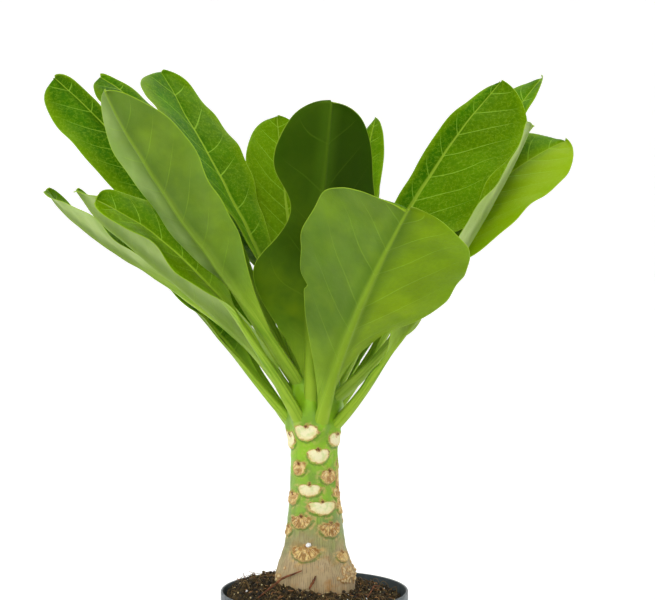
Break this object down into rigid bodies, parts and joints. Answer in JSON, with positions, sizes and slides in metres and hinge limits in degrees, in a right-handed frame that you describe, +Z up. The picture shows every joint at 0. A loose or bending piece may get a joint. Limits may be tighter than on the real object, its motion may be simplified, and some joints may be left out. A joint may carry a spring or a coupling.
{
  "type": "potted hawaiian palm",
  "caption": "Potted succulent palm: a swollen trunk with leaf scars, a rosette of broad upright leaves, soil and a plain nursery pot to stand on a surface.",
  "frame": {"origin": "centre of the pot's flat underside", "axes": "+Z up along the trunk; -Y towards the viewer of the picture; +X to the viewer's right"},
  "size_m": [0.3467, 0.2727, 0.453],
  "materials": {
    "pot": "slate grey moulded plastic",
    "soil": "dark peat and bark potting mix",
    "trunk": "green skin over grey-tan bark",
    "leaf": "waxy fresh green leaf"
  },
  "bodies": {
    "root": {"pot": "pot", "soil": "soil", "trunk": "trunk", "leaf_01": "leaf", "leaf_02": "leaf", "leaf_03": "leaf", "leaf_04": "leaf", "leaf_05": "leaf", "leaf_06": "leaf", "leaf_07": "leaf", "leaf_08": "leaf", "leaf_09": "leaf", "leaf_10": "leaf", "leaf_11": "leaf", "leaf_12": "leaf", "leaf_13": "leaf", "leaf_14": "leaf", "leaf_15": "leaf", "leaf_16": "leaf", "leaf_17": "leaf", "leaf_18": "leaf", "leaf_19": "leaf", "leaf_20": "leaf", "leaf_21": "leaf", "leaf_22": "leaf", "leaf_23": "leaf", "leaf_24": "leaf"}
  },
  "joints": []
}
